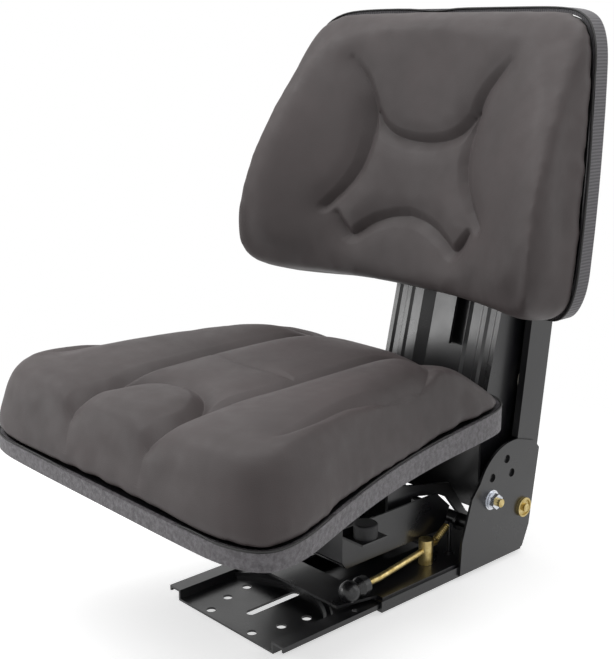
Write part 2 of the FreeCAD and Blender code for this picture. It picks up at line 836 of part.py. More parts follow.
def makeRack():
    """The toothed strip on the tray's side wall that the lock lever's pawl grips."""
    x1 = trayHalfWidth - traySheet
    x0 = x1 - rackBase
    rear = rackFront + rackTeeth * rackPitch
    strip = box(x0, x1, rackFront, rear, traySheet, trayWallHeight - 0.5)
    for i in range(rackTeeth + 1):
        y = rackFront + i * rackPitch
        tooth = box(x0 - rackToothLength, x0, y - rackToothWidth / 2, y + rackToothWidth / 2, 5, trayWallHeight - 0.5)
        strip = strip.fuse(tooth)
    return strip.removeSplitter()


def makePawl():
    """A flat arm under the cross plate with one tooth turned down into the rack."""
    top = railTop - 0.4
    x0 = leverX - 6
    arm = box(x0 - 6, leverX + 5, leverY - 7, leverY + pawlReach + 3, top - pawlSheet, top)
    rackTip = trayHalfWidth - traySheet - rackBase - rackToothLength
    tooth = box(rackTip + 1.2, rackTip + rackToothLength - 0.4, leverY + pawlReach - pawlToothHalf, leverY + pawlReach + pawlToothHalf, 6, top)
    neck = box(x0 - 6, rackTip + 1.3, leverY + pawlReach - pawlToothHalf, leverY + pawlReach + pawlToothHalf, 6, top)
    arm = arm.fuse(tooth).fuse(neck).removeSplitter()
    arm = arm.cut(box(leverX + 5, leverX + 20, 0, 500, -10, 60))
    return arm.cut(rod((leverX, leverY, 0), (leverX, leverY, 60), leverPinRadius + fitGap))


def makeLever():
    """Pivot pin, hub and the bent hand rod, welded together."""
    base = railTop + railSheet
    pin = rod((leverX, leverY, railTop - 0.4 - pawlSheet), (leverX, leverY, base + bushingHeight + 3), leverPinRadius)
    hubTop = base + bushingHeight
    cap = rod((leverX, leverY, hubTop + 0.3), (leverX, leverY, hubTop + 3), bushingRadius)
    hub = rod((leverX, leverY, base + 0.3), (leverX, leverY, hubTop + 0.3), bushingRadius)
    start = (leverX, leverY - 4, base + bushingHeight * 0.62)
    rod1 = rod(start, leverBendPoint, rodRadius)
    rod2 = rod(leverBendPoint, leverKnobPoint, rodRadius)
    elbow = Part.makeSphere(rodRadius, Vector(*leverBendPoint))
    ear = box(leverX - 3, leverX + 3, leverY + 4, leverY + 17, hubTop - 8, hubTop - 5)
    ear = ear.cut(rod((leverX, leverY + 13, 0), (leverX, leverY + 13, 80), 1.6))
    body = pin.fuse(cap).fuse(hub).fuse(rod1).fuse(elbow).fuse(rod2).fuse(ear)
    return body.removeSplitter()


def makeKnob():
    """A waisted ball grip pushed over the rod's end."""
    end = Vector(*leverKnobPoint)
    back = Vector(*leverBendPoint)
    along = (back - end).normalize()
    ball = Part.makeSphere(knobRadius, end + along * (knobRadius - 6))
    neckStart = end + along * (knobRadius + 2)
    neck = Part.makeCone(knobRadius * 0.62, knobRadius * 0.9, 9, neckStart, along)
    skirt = Part.makeCylinder(knobRadius * 0.9, 9, neckStart + along * 9, along)
    body = ball.fuse(neck).fuse(skirt).removeSplitter()
    return body.cut(Part.makeCylinder(rodRadius, 80, end, along))


def helix(start, end, coilRadius, wireRadius, turns):
    """A coil of round wire between two points."""
    a = Vector(*start)
    b = Vector(*end)
    length = (b - a).Length
    path = Part.makeHelix(length / turns, length, coilRadius)
    circle = Part.Circle(Vector(coilRadius, 0, 0), Vector(0, 1, 0), wireRadius)
    coil = Part.Wire(path).makePipeShell([Part.Wire([circle.toShape()])], True, True)
    turn = FreeCAD.Rotation(Vector(0, 0, 1), b - a)
    coil.Placement = FreeCAD.Placement(a, turn)
    return coil


def makeLeverSpring():
    base = railTop + railSheet
    start = (leverX, leverY + 16.5, base + bushingHeight - 3)
    end = (leverX, leverY + 36, base + bushingHeight + 9)
    return helix(start, end, leverSpringRadius, leverSpringWire, leverSpringTurns)


def makeSpringPost():
    """The small hook post that holds the far end of the lever's spring."""
    base = railTop + railSheet
    y = leverY + 41
    stem = rod((leverX, y, base), (leverX, y, base + bushingHeight + 12), 2.5)
    foot = rod((leverX, y, base), (leverX, y, base + 3), 6)
    arm = rod((leverX, y, base + bushingHeight + 9.5), (leverX, y - 5, base + bushingHeight + 9.5), 1.5)
    return stem.fuse(foot).fuse(arm).removeSplitter()


def leanedRod(x, y, z0, z1, radius):
    """A rod along the column's lean: y is measured from the column's middle line."""
    return leaned(rod((x, columnMidY + y, z0), (x, columnMidY + y, z1), radius))


def leanedBox(x0, x1, y0, y1, z0, z1):
    return leaned(box(x0, x1, columnMidY + y0, columnMidY + y1, z0, z1))


def weightAdjuster():
    """Top plate, screw with its hand knob, the yoke it lifts, and the two main springs."""
    nodes = {}
    inner = railOuter - columnSheet
    topZ = columnTop - 14
    plate = leanedBox(-inner, inner, -9, columnDepth / 2 - columnSheet, topZ, topZ + 5)
    nodes["adjuster_plate"] = plate.cut(leanedRod(0, springLine, topZ - 5, topZ + 10, screwRadius + fitGap))
    screw = leanedRod(0, springLine, yokeZ - 30, topZ + 40, screwRadius)
    collar = leanedRod(0, springLine, topZ - 4.2, topZ - 0.2, screwRadius + 4)
    knobLow = topZ + 21
    knob = leanedRod(0, springLine, knobLow, knobLow + adjusterKnobHeight, adjusterKnobRadius)
    grips = []
    for i in range(6):
        a = math.radians(60 * i)
        spread = adjusterKnobRadius + 2
        gripTop = knobLow + adjusterKnobHeight + 1
        grips.append(leanedRod(spread * math.cos(a), springLine + spread * math.sin(a), knobLow - 1, gripTop, 5))
    for grip in grips:
        knob = knob.cut(grip)
    nodes["adjuster_screw"] = screw.fuse(collar).removeSplitter()
    nodes["adjuster_knob"] = knob.cut(leanedRod(0, springLine, knobLow - 1, knobLow + 30, screwRadius))
    reach = springX + yokeReach
    front = springLine - yokeHalf
    rear = springLine + yokeHalf
    yoke = leanedBox(-reach, reach, front, rear, yokeZ - 6, yokeZ + 6)
    yoke = yoke.cut(leanedRod(0, springLine, yokeZ - 20, yokeZ + 20, screwRadius + fitGap))
    nodes["spring_yoke"] = yoke
    foot = leanedBox(-reach, reach, front, rear, springFootZ - 5, springFootZ)
    beamReach = carriageHalfWidth - carriageSheet
    beam = leanedBox(-beamReach, beamReach, front, rear, springFootZ - 10, springFootZ - 5)
    nodes["spring_beam"] = foot.fuse(beam).removeSplitter()
    spring = leanedRod(springX, springLine, springFootZ + 0.3, yokeZ - 6.3, springRadius)
    spring = spring.cut(leanedRod(springX, springLine, springFootZ - 1, yokeZ, springRadius - springWire))
    nodes["left_main_spring"] = spring
    nodes["right_main_spring"] = mirrored(spring)
    return nodes


os.makedirs("parts", exist_ok=True)
nodes = {}
nodes["base_tray"] = makeTray()
nodes["lock_rack"] = makeRack()
rail = makeRail()
nodes["left_rail"] = rail
nodes["right_rail"] = mirrored(rail)
plate = makeSidePlate()
nodes["left_side_plate"] = plate
nodes["right_side_plate"] = mirrored(plate)
nodes["rail_cross_plate"] = makeCrossPlate()
nodes["rear_column"] = makeColumn()
inner = railOuter - columnSheet
nodes["column_cross_tube"] = tube((-inner, crossTubeY, crossTubeZ), (inner, crossTubeY, crossTubeZ), crossTubeRadius,
                                  crossTubeRadius - 2)
nodes["support_box"] = makeSupportBox()
arm = makeSupportArm()
nodes["left_support_arm"] = arm
nodes["right_support_arm"] = mirrored(arm)
nodes["bump_stops"] = pair(makeStopRubber())
tiltBolt, tiltWasher, tiltNut = tiltBoltSet(tiltY, tiltZ, False)
nodes["tilt_bolts"] = pair(tiltBolt)
nodes["tilt_washers"] = pair(tiltWasher)
nodes["tilt_nuts"] = pair(tiltNut)
pivotBolt, pivotWasher = tiltBoltSet(pivotY, pivotZ, True)[:2]
nodes["pivot_pins"] = pair(pivotBolt)
nodes["pivot_washers"] = pair(pivotWasher)
nodes["lock_lever_rod"] = makeLever()
nodes["lock_lever_knob"] = makeKnob()
nodes["lock_pawl"] = makePawl()
nodes["lever_spring"] = makeLeverSpring()
nodes["lever_spring_post"] = makeSpringPost()
bolts, holes = bracketBolts()
carriage = makeCarriage()
bracket = makeBracket()
brackets = {"left_back_bracket": bracket, "right_back_bracket": mirrored(bracket)}
for hole in holes:
    carriage = carriage.cut(hole)
    for name in brackets:
        brackets[name] = brackets[name].cut(hole)
nodes["carriage_panel"] = carriage
nodes.update(brackets)
nodes["backrest_bolts"] = Part.makeCompound(bolts)
nodes["panel_tongue"] = makeTongue()
nodes.update(rollerNodes())
nodes.update(weightAdjuster())
seatArm, armLow = makeSeatArm()
nodes["left_seat_arm"] = seatArm
nodes["right_seat_arm"] = mirrored(seatArm)
nodes["stop_bar"] = makeStopBar(armLow)
nodes["seat_pan"] = makeSeatPan()
nodes["seat_cushion"] = makeSeatCushion()
nodes["seat_trim"] = makeSeatTrim()
nodes["backrest_cushion"] = padSolid(backCushionPlace, backGridSteps)
nodes["backrest_shell"] = padSolid(backShellPlace, shellGridSteps)
nodes["backrest_trim"] = makeBackTrim()

for name, shape in nodes.items():
    shape.exportStep("parts/" + name + ".step")
    print(name, shape.isValid(), len(shape.Solids), round(shape.Volume / 1000, 1))
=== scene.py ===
import math

import bmesh
import bpy
import numpy as np
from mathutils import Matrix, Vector
from mathutils.kdtree import KDTree


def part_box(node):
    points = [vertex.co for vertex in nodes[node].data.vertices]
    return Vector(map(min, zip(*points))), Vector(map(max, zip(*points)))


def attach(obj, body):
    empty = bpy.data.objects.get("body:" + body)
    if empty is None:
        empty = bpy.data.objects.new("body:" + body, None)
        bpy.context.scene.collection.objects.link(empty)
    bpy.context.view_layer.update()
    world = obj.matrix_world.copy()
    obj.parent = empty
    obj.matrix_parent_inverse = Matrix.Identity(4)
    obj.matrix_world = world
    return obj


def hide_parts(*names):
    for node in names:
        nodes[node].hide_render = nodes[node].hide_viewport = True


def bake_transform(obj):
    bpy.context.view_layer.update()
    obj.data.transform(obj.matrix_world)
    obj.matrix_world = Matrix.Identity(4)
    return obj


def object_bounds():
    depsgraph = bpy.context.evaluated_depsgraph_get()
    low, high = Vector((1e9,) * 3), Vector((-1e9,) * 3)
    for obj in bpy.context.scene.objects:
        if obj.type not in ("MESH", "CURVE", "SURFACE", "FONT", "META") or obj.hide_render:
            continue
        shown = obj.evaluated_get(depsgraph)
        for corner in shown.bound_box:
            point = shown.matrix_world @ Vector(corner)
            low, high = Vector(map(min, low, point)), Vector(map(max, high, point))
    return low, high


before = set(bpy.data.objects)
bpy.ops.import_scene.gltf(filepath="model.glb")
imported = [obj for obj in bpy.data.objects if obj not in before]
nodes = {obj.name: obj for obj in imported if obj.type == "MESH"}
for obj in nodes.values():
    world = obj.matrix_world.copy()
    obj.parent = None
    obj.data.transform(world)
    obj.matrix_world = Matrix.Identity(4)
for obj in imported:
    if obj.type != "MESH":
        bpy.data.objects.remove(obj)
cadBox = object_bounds()
mm = 0.001
mergeGap = 0.00005  # metres, closer points of one node are the same point
print("frame loaded:", len(nodes), "nodes")


def linear(hexColour):
    # "#rrggbb" as a designer writes it, turned to linear light
    parts = [int(hexColour[i:i + 2], 16) / 255 for i in (1, 3, 5)]
    light = [c / 12.92 if c <= 0.04045 else ((c + 0.055) / 1.055) ** 2.4 for c in parts]
    return tuple(light) + (1.0,)


def addNode(tree, kind, settings=None, links=None):
    # a setting is a socket's value where the node has a socket of that name or number
    node = tree.nodes.new(kind)
    for name, value in (settings or {}).items():
        if isinstance(name, int) or name in node.inputs:
            node.inputs[name].default_value = value
        else:
            setattr(node, name, value)
    for name, source in (links or {}).items():
        tree.links.new(source, node.inputs[name])
    return node


def deselectAll():
    if bpy.context.object and bpy.context.object.mode != "OBJECT":
        bpy.ops.object.mode_set(mode="OBJECT")
    bpy.ops.object.select_all(action="DESELECT")


def pickOnly(obj):
    deselectAll()
    obj.select_set(True)
    bpy.context.view_layer.objects.active = obj


def applyAll(obj):
    pickOnly(obj)
    for modifier in list(obj.modifiers):
        bpy.ops.object.modifier_apply(modifier=modifier.name)


def smoothByAngle(obj, degrees):
    pickOnly(obj)
    bpy.ops.object.shade_smooth_by_angle(angle=math.radians(degrees))


def readPoints(obj):
    points = np.zeros(len(obj.data.vertices) * 3)
    obj.data.vertices.foreach_get("co", points)
    return points.reshape(-1, 3)


def readNormals(obj):
    normals = np.zeros(len(obj.data.vertices) * 3)
    obj.data.vertices.foreach_get("normal", normals)
    return normals.reshape(-1, 3)


def writePoints(obj, points):
    obj.data.vertices.foreach_set("co", points.reshape(-1))
    obj.data.update()


# the camera stands where the photograph was taken from
studio = {
    "cameraAt": (0.9031, -0.7205, 0.6177),
    "cameraTurn": (75.77, 0.0, 47.34),
    "lens": 69.05,
    "sensorMm": 36.0,
    "farthest": 60.0,
    "floorSize": 9.0,
    "floorDrop": 0.0005,
    "keyPower": 23.0,
    "fillPower": 3.0,
    "topPower": 24.0,
    "rimPower": 6.0,
    "cardPower": 5.0,
    "worldStrength": 0.2,
    "paperLift": 0.6,
    "paperShadowTo": 0.35,  # metres from the seat
    "paperWhiteFrom": 0.95,
}

cameraData = bpy.data.cameras.new("photoCamera")
camera = bpy.data.objects.new("photoCamera", cameraData)
bpy.context.scene.collection.objects.link(camera)
camera.location = studio["cameraAt"]
camera.rotation_euler = [math.radians(a) for a in studio["cameraTurn"]]
cameraData.sensor_fit = "HORIZONTAL"
cameraData.sensor_width = studio["sensorMm"]
cameraData.lens = studio["lens"]
cameraData.clip_end = studio["farthest"]
bpy.context.scene.camera = camera
bpy.context.scene.view_settings.view_transform = "Standard"


def seenRays(tree):
    # 1 for what the camera meets, directly or in gloss or glass, 0 for light that falls on the seat
    rays = addNode(tree, "ShaderNodeLightPath")
    direct = addNode(tree, "ShaderNodeMath", {"operation": "MAXIMUM"},
                     {0: rays.outputs["Is Camera Ray"], 1: rays.outputs["Is Glossy Ray"]})
    return addNode(tree, "ShaderNodeMath", {"operation": "MAXIMUM"},
                   {0: direct.outputs[0], 1: rays.outputs["Is Transmission Ray"]}).outputs[0]


plainWhite = (1, 1, 1, 1)
world = bpy.data.worlds.new("paleStudio")
world.use_nodes = True
bpy.context.scene.world = world
worldTree = world.node_tree
worldTree.nodes.clear()
softLight = addNode(worldTree, "ShaderNodeBackground",
                    {"Color": plainWhite, "Strength": studio["worldStrength"]})
whiteBackdrop = addNode(worldTree, "ShaderNodeBackground", {"Color": plainWhite, "Strength": 1.0})
worldMix = addNode(worldTree, "ShaderNodeMixShader", {},
                   {0: seenRays(worldTree), 1: softLight.outputs[0], 2: whiteBackdrop.outputs[0]})
addNode(worldTree, "ShaderNodeOutputWorld", {}, {"Surface": worldMix.outputs[0]})

deselectAll()
bpy.ops.mesh.primitive_plane_add(size=studio["floorSize"], location=(0, 0, 0))
floor = bpy.context.object
floor.name = "studioFloor"
floorPoints = readPoints(floor)
floorPoints[:, 2] = cadBox[0][2] - studio["floorDrop"]
writePoints(floor, floorPoints)

# white paper: near the seat it takes the seat's shadow, further out it runs into the backdrop
paper = bpy.data.materials.new("whitePaperSweep")
paper.use_nodes = True
paperTree = paper.node_tree
paperTree.nodes.clear()
paperDiffuse = addNode(paperTree, "ShaderNodeBsdfDiffuse", {"Color": linear("#f4f4f4")})
paperLift = addNode(paperTree, "ShaderNodeEmission",
                    {"Color": plainWhite, "Strength": studio["paperLift"]})
paperNear = addNode(paperTree, "ShaderNodeAddShader", {},
                    {0: paperDiffuse.outputs[0], 1: paperLift.outputs[0]})
paperWhite = addNode(paperTree, "ShaderNodeEmission", {"Color": plainWhite, "Strength": 1.0})
paperPlace = addNode(paperTree, "ShaderNodeTexCoord").outputs["Object"]
paperFar = addNode(paperTree, "ShaderNodeVectorMath", {"operation": "LENGTH"}, {0: paperPlace})
paperFade = addNode(paperTree, "ShaderNodeMapRange",
                    {"From Min": studio["paperShadowTo"], "From Max": studio["paperWhiteFrom"],
                     "interpolation_type": "SMOOTHSTEP"},
                    {"Value": paperFar.outputs["Value"]})
paperSeen = addNode(paperTree, "ShaderNodeMixShader", {},
                    {0: paperFade.outputs[0], 1: paperNear.outputs[0], 2: paperWhite.outputs[0]})
paperMix = addNode(paperTree, "ShaderNodeMixShader", {},
                   {0: seenRays(paperTree), 1: paperDiffuse.outputs[0], 2: paperSeen.outputs[0]})
addNode(paperTree, "ShaderNodeOutputMaterial", {}, {"Surface": paperMix.outputs[0]})
floor.data.materials.append(paper)


def addLamp(name, place, target, size, power):
    data = bpy.data.lights.new(name, "AREA")
    data.shape = "RECTANGLE"
    data.size, data.size_y = size
    data.energy = power
    lamp = bpy.data.objects.new(name, data)
    bpy.context.scene.collection.objects.link(lamp)
    lamp.location = place
    facing = Vector(target) - Vector(place)
    lamp.rotation_euler = facing.to_track_quat("-Z", "Y").to_euler()


seatMiddle = (0.0, 0.15, 0.3)
backLow = (0.0, 0.34, 0.3)
addLamp("keySoftbox", (-1.4, -0.9, 2.2), seatMiddle, (1.4, 1.4), studio["keyPower"])
addLamp("topSoftbox", (0.1, 0.3, 2.4), seatMiddle, (2.0, 1.6), studio["topPower"])
addLamp("fillSoftbox", (2.0, -0.6, 1.0), seatMiddle, (1.2, 1.8), studio["fillPower"])
addLamp("rimSoftbox", (1.4, 1.6, 1.3), seatMiddle, (0.8, 1.6), studio["rimPower"])
addLamp("frontCard", (-1.27, -1.16, 0.51), backLow, (0.55, 0.45), studio["cardPower"])
print("camera, floor and lamps placed")


def newMaterial(name):
    material = bpy.data.materials.new(name)
    material.use_nodes = True
    tree = material.node_tree
    tree.nodes.clear()
    shader = addNode(tree, "ShaderNodeBsdfPrincipled")
    addNode(tree, "ShaderNodeOutputMaterial", {}, {"Surface": shader.outputs[0]})
    place = addNode(tree, "ShaderNodeTexCoord").outputs["Object"]
    return material, tree, shader, place


def mottled(tree, place, scale, detail, low, high):
    # soft uneven colour between two close tones, spots to a metre in scale
    noise = addNode(tree, "ShaderNodeTexNoise",
                    {"Scale": scale, "Detail": detail, "Roughness": 0.55}, {"Vector": place})
    ramp = addNode(tree, "ShaderNodeValToRGB", {}, {"Fac": noise.outputs["Fac"]})
    ramp.color_ramp.elements[0].position = 0.35
    ramp.color_ramp.elements[1].position = 0.68
    ramp.color_ramp.elements[0].color = linear(low)
    ramp.color_ramp.elements[1].color = linear(high)
    return ramp.outputs["Color"]


def roughBetween(tree, source, low, high):
    # noise lies mostly between 0.3 and 0.7
    spread = addNode(tree, "ShaderNodeMapRange",
                     {"From Min": 0.3, "From Max": 0.7, "To Min": low, "To Max": high},
                     {"Value": source})
    return spread.outputs[0]


def vinylMaterial():
    # integral-skin vinyl foam: warm charcoal, dead matt, with a fine leather grain pressed in
    material, tree, shader, place = newMaterial("mouldedVinyl")
    skin = {"low": "#453f3f", "high": "#4e4747", "grainMm": 1.1, "poreMm": 0.5}
    tone = mottled(tree, place, 9.0, 3.0, skin["low"], skin["high"])
    tree.links.new(tone, shader.inputs["Base Color"])
    grain = addNode(tree, "ShaderNodeTexVoronoi", {"Scale": 1000 / skin["grainMm"]},
                    {"Vector": place})
    pores = addNode(tree, "ShaderNodeTexNoise",
                    {"Scale": 1000 / skin["poreMm"] / 2, "Detail": 2.0}, {"Vector": place})
    worn = addNode(tree, "ShaderNodeTexNoise", {"Scale": 55.0, "Detail": 3.0}, {"Vector": place})
    tree.links.new(roughBetween(tree, worn.outputs["Fac"], 0.52, 0.62), shader.inputs["Roughness"])
    bumpGrain = addNode(tree, "ShaderNodeBump", {"Strength": 0.16, "Distance": 0.0004},
                        {"Height": grain.outputs["Distance"]})
    bumpPores = addNode(tree, "ShaderNodeBump", {"Strength": 0.1, "Distance": 0.0003},
                        {"Height": pores.outputs["Fac"], "Normal": bumpGrain.outputs[0]})
    tree.links.new(bumpPores.outputs[0], shader.inputs["Normal"])
    shader.inputs["IOR"].default_value = 1.48
    shader.inputs["Specular IOR Level"].default_value = 0.42
    return material


def grainedBandMaterial():
    # extruded soft PVC edge band, pressed leather grain, greyer and shinier than the cushion
    material, tree, shader, place = newMaterial("grainedPvcBand")
    band = {"low": "#4d4a4d", "high": "#767377", "grainMm": 1.6, "poreMm": 0.7}
    tone = mottled(tree, place, 220.0, 5.0, band["low"], band["high"])
    tree.links.new(tone, shader.inputs["Base Color"])
    shader.inputs["Roughness"].default_value = 0.5
    grain = addNode(tree, "ShaderNodeTexVoronoi", {"Scale": 1000 / band["grainMm"]},
                    {"Vector": place})
    pores = addNode(tree, "ShaderNodeTexNoise",
                    {"Scale": 1000 / band["poreMm"] / 2, "Detail": 3.0}, {"Vector": place})
    bumpGrain = addNode(tree, "ShaderNodeBump", {"Strength": 0.6, "Distance": 0.0006},
                        {"Height": grain.outputs["Distance"]})
    bumpPores = addNode(tree, "ShaderNodeBump", {"Strength": 0.35, "Distance": 0.0004},
                        {"Height": pores.outputs["Fac"], "Normal": bumpGrain.outputs[0]})
    tree.links.new(bumpPores.outputs[0], shader.inputs["Normal"])
    shader.inputs["IOR"].default_value = 1.5
    return material


def ribbedBandMaterial():
    # extruded soft PVC edge band with fine ribs across it, all round the backrest; its colour
    # follows the ribs, with painted shade in the valleys and a painted highlight on the crests
    material, tree, shader, place = newMaterial("ribbedPvcBand")
    band = {"ribMm": 3.2, "valley": "#4a484b", "crest": "#666468"}
    facing = addNode(tree, "ShaderNodeNewGeometry").outputs["Normal"]
    parts = addNode(tree, "ShaderNodeSeparateXYZ", {}, {"Vector": place})
    turn = addNode(tree, "ShaderNodeSeparateXYZ", {}, {"Vector": facing})
    across = addNode(tree, "ShaderNodeMath", {"operation": "ABSOLUTE"}, {0: turn.outputs["X"]})
    upright = addNode(tree, "ShaderNodeMath", {"operation": "GREATER_THAN", 1: 0.6},
                      {0: across.outputs[0]})
    along = addNode(tree, "ShaderNodeMix", {"data_type": "FLOAT"},
                    {"Factor": upright.outputs[0], "A": parts.outputs["X"],
                     "B": parts.outputs["Z"]})
    wave = addNode(tree, "ShaderNodeMath",
                   {"operation": "MULTIPLY", 1: 2 * math.pi * 1000 / band["ribMm"]},
                   {0: along.outputs[0]})
    rib = addNode(tree, "ShaderNodeMath", {"operation": "SINE"}, {0: wave.outputs[0]})
    height = addNode(tree, "ShaderNodeMapRange",
                     {"From Min": -1.0, "From Max": 1.0, "To Min": 0.0, "To Max": 1.0},
                     {"Value": rib.outputs[0]})
    # painted shade and highlight: the ramp darkens the rib valleys and lightens the crests, in step
    # with the bump
    ramp = addNode(tree, "ShaderNodeValToRGB", {}, {"Fac": height.outputs[0]})
    ramp.color_ramp.elements[0].color = linear(band["valley"])
    ramp.color_ramp.elements[1].color = linear(band["crest"])
    tree.links.new(ramp.outputs["Color"], shader.inputs["Base Color"])
    shader.inputs["Roughness"].default_value = 0.52
    bump = addNode(tree, "ShaderNodeBump", {"Strength": 0.6, "Distance": 0.0006},
                   {"Height": height.outputs[0]})
    tree.links.new(bump.outputs[0], shader.inputs["Normal"])
    shader.inputs["IOR"].default_value = 1.5
    return material


def paintedSteelMaterial():
    # satin powder coat on pressed steel: deep black, soft wide highlights, slight orange peel
    material, tree, shader, place = newMaterial("blackPowderCoat")
    coat = {"low": "#0f0f11", "high": "#17171a", "peelMm": 2.381}
    tone = mottled(tree, place, 14.0, 5.0, coat["low"], coat["high"])
    tree.links.new(tone, shader.inputs["Base Color"])
    peel = addNode(tree, "ShaderNodeTexNoise", {"Scale": 1000 / coat["peelMm"], "Detail": 2.0},
                   {"Vector": place})
    wide = addNode(tree, "ShaderNodeTexNoise", {"Scale": 24.0, "Detail": 3.0}, {"Vector": place})
    tree.links.new(roughBetween(tree, wide.outputs["Fac"], 0.26, 0.36), shader.inputs["Roughness"])
    bump = addNode(tree, "ShaderNodeBump", {"Strength": 0.12, "Distance": 0.0005},
                   {"Height": peel.outputs["Fac"]})
    tree.links.new(bump.outputs[0], shader.inputs["Normal"])
    shader.inputs["IOR"].default_value = 1.5
    shader.inputs["Coat Weight"].default_value = 0.25
    shader.inputs["Coat Roughness"].default_value = 0.18
    return material


def platedSteelMaterial(name, low, high, roughLow, roughHigh):
    # electroplated or oiled steel: bright metal, cloudy colour, fine drawn streaks
    material, tree, shader, place = newMaterial(name)
    tone = mottled(tree, place, 160.0, 4.0, low, high)
    tree.links.new(tone, shader.inputs["Base Color"])
    shader.inputs["Metallic"].default_value = 1.0
    streaks = addNode(tree, "ShaderNodeTexNoise", {"Scale": 600.0, "Detail": 3.0},
                      {"Vector": place})
    tree.links.new(roughBetween(tree, streaks.outputs["Fac"], roughLow, roughHigh),
                   shader.inputs["Roughness"])
    bump = addNode(tree, "ShaderNodeBump", {"Strength": 0.08, "Distance": 0.0002},
                   {"Height": streaks.outputs["Fac"]})
    tree.links.new(bump.outputs[0], shader.inputs["Normal"])
    return material


def plasticMaterial(name, low, high, rough, grainMm, depth):
    # injection-moulded plastic or rubber with a spark-eroded grain
    material, tree, shader, place = newMaterial(name)
    tone = mottled(tree, place, 40.0, 3.0, low, high)
    tree.links.new(tone, shader.inputs["Base Color"])
    grain = addNode(tree, "ShaderNodeTexNoise", {"Scale": 1000 / grainMm, "Detail": 3.0},
                    {"Vector": place})
    tree.links.new(roughBetween(tree, grain.outputs["Fac"], rough - 0.05, rough + 0.05),
                   shader.inputs["Roughness"])
    bump = addNode(tree, "ShaderNodeBump", {"Strength": depth, "Distance": 0.0004},
                   {"Height": grain.outputs["Fac"]})
    tree.links.new(bump.outputs[0], shader.inputs["Normal"])
    shader.inputs["IOR"].default_value = 1.5
    return material


vinyl = vinylMaterial()
seatBand = grainedBandMaterial()
backBand = ribbedBandMaterial()
powderCoat = paintedSteelMaterial()
yellowZinc = platedSteelMaterial("yellowPassivatedZinc", "#a8935a", "#cdbb86", 0.26, 0.42)
silverZinc = platedSteelMaterial("brightZinc", "#b9bcc2", "#d9dbe0", 0.16, 0.3)
springSteel = platedSteelMaterial("oiledSpringSteel", "#3e3d40", "#55545a", 0.32, 0.46)
shellPlastic = plasticMaterial("blackPolypropylene", "#1b1b1c", "#222223", 0.5, 1.4, 0.35)
rubber = plasticMaterial("naturalBlackRubber", "#111112", "#18181a", 0.62, 1.0, 0.2)
knobPlastic = plasticMaterial("blackPhenolicKnob", "#151516", "#1c1c1e", 0.3, 1.2, 0.08)
rollerNylon = plasticMaterial("turnedNylon", "#c9c5b8", "#d8d4c8", 0.42, 1.2, 0.15)

# what isn't named here is a nylon roller or painted steel
finishes = {
    "seat_cushion": vinyl, "backrest_cushion": vinyl,
    "seat_trim": seatBand, "backrest_trim": backBand, "backrest_shell": shellPlastic,
    "lock_lever_rod": yellowZinc, "lever_spring": yellowZinc,
    "tilt_bolts": yellowZinc, "pivot_pins": yellowZinc, "pivot_washers": yellowZinc,
    "tilt_washers": silverZinc, "tilt_nuts": silverZinc, "backrest_bolts": silverZinc,
    "adjuster_screw": silverZinc, "roller_axles": silverZinc,
    "lock_lever_knob": knobPlastic, "adjuster_knob": knobPlastic, "bump_stops": rubber,
    "left_main_spring": springSteel, "right_main_spring": springSteel,
}
for name, node in nodes.items():
    usual = rollerNylon if "roller_" in name and "axles" not in name else powderCoat
    node.data.materials.clear()
    node.data.materials.append(finishes.get(name, usual))
print("finishes given to every node")


# both cushions: skin over foam, stapled behind the band
foam = {
    "voxelMm": 6.0, "smoothTurns": 12, "calmTurns": 8, "smoothFactor": 0.5, "fill": 0.85,
    "pressure": 4.0, "pressSteps": 20, "clothQuality": 4, "startInsetMm": 3.0, "capMm": 5.0,
    "heldMm": 45.0, "proudMm": 1.5, "proudReachMm": 12.0, "tuckMm": 3.5, "tuckReachMm": 7.0,
    "fineReachMm": 5, "faceLeast": 0.1, "faceFull": 0.5,
}
# face: the axis and side that the cushion's face looks to. Creases: one half, in mm, each
# point (x, along the other axis, depth, half width)
seatCushion = {
    "node": "seat_cushion", "band": "seat_trim", "faceAxis": 2, "faceSign": 1, "nearReachMm": 18,
    "creases": [
        [(60, -160, 5, 17), (68, -128, 11, 17), (66, -100, 11, 16), (58, -80, 10, 15),
         (44, -62, 9, 14), (24, -50, 6, 12), (0, -46, 5, 12)],
        [(66, -100, 9, 15), (71, -60, 6, 12), (73, -10, 5.5, 11), (72, 50, 5.5, 11),
         (70, 110, 5.5, 11), (66, 170, 7, 11), (62, 236, 9, 11), (62, 268, 9, 11)],
        [(184, -92, 0.3, 6), (178, -46, 4, 9), (167, 0, 5, 10), (161, 40, 5, 10),
         (157, 80, 5, 10), (152, 115, 5, 10), (142, 143, 4.5, 10), (127, 165, 4, 10),
         (106, 186, 3, 10), (84, 200, 1, 9)],
        [(0, 29, 2, 9), (40, 29, 2, 9), (70, 33, 2, 9)],
    ],
}
backCushion = {
    "node": "backrest_cushion", "band": "backrest_trim", "faceAxis": 1, "faceSign": -1,
    "nearReachMm": 15,
    "creases": [
        [(116, 586, 2, 8), (97, 566, 5, 11), (85, 549, 6, 12), (77, 530, 6, 12),
         (74, 508, 6, 12), (74, 488, 6, 12), (78, 467, 6, 12), (86, 449, 6, 12),
         (98, 433, 6, 11), (118, 413, 5, 9)],
        [(0, 494, 6, 12), (20, 495, 6, 12), (44, 500, 6, 12), (62, 510, 6, 12),
         (74, 524, 5, 12)],
        [(0, 412, 5, 12), (24, 409, 5, 12), (45, 402, 5, 12), (62, 392, 6, 12),
         (79, 380, 7, 11), (92, 392, 7, 10), (101, 406, 4, 8)],
    ],
}
bandRim = {"sectors": 240, "depth": 0.0015, "evenTurns": 2}


